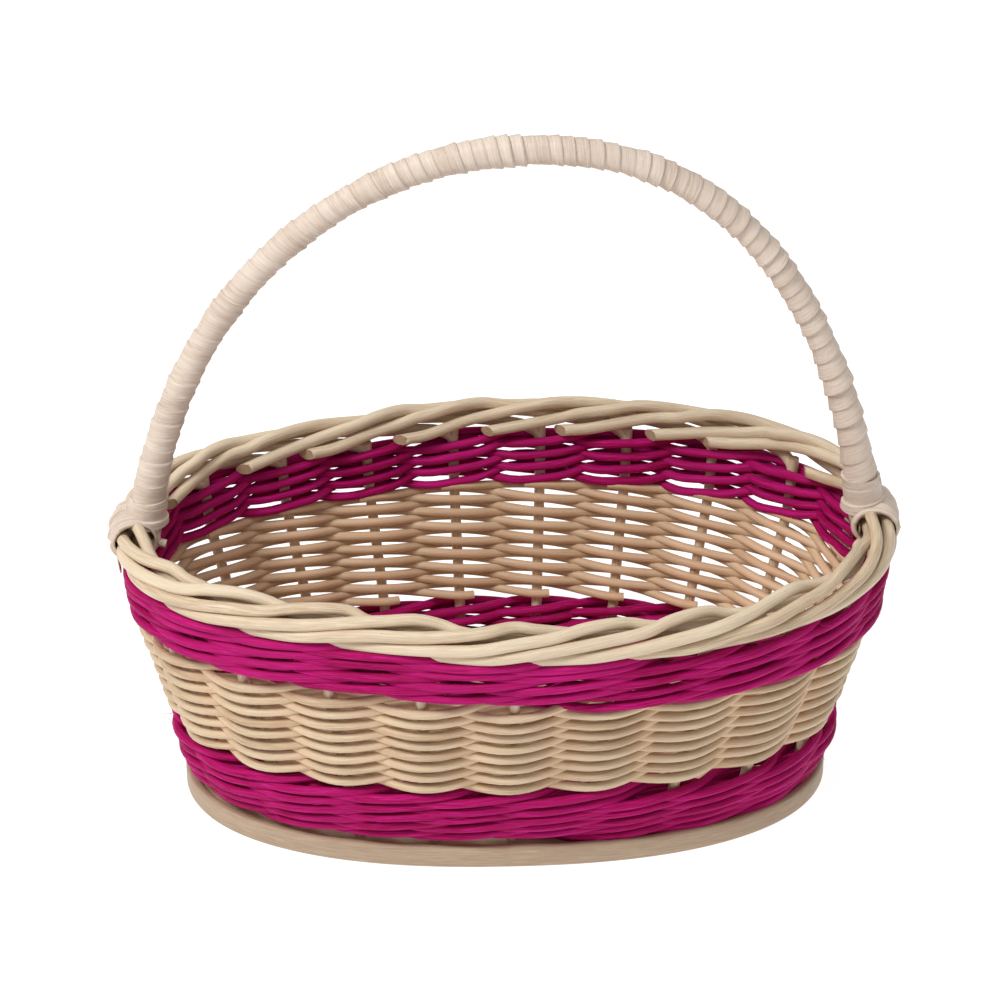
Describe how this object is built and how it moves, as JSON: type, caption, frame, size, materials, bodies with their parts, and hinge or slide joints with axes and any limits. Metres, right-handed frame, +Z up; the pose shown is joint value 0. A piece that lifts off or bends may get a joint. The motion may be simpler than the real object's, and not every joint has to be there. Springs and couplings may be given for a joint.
{
  "type": "easter basket",
  "caption": "Oval woven cane basket with flared sides, two dyed bands, a rolled border, a foot hoop and a fixed wrapped bow handle.",
  "frame": {"origin": "on the floor under the middle of the basket", "axes": "+Z up; +X along the length, in the plane of the handle; +Y across, away from the front"},
  "size_m": [0.2708, 0.1684, 0.2448],
  "materials": {
    "cane": "satin, bare peeled cane",
    "natural_weave": "satin, bare woven cane",
    "dyed_weave": "satin, magenta dye with streaks",
    "tape": "satin, flat wrapped cane peel",
    "hoop": "satin, bent wood strip",
    "board": "matt plywood"
  },
  "bodies": {
    "root": {"base_board": "board", "foot_hoop": "hoop", "stake_01": "cane", "stake_02": "cane", "stake_03": "cane", "stake_04": "cane", "stake_05": "cane", "stake_06": "cane", "stake_07": "cane", "stake_08": "cane", "stake_09": "cane", "stake_10": "cane", "stake_11": "cane", "stake_12": "cane", "stake_13": "cane", "stake_14": "cane", "stake_15": "cane", "stake_16": "cane", "stake_17": "cane", "stake_18": "cane", "stake_19": "cane", "stake_20": "cane", "stake_21": "cane", "lower_wale_band": "dyed_weave", "natural_rand_band": "natural_weave", "upper_wale_band": "dyed_weave", "rolled_border": "cane", "handle_core": "cane", "handle_wrap": "tape", "left_lashing": "tape", "right_lashing": "tape"}
  },
  "joints": []
}
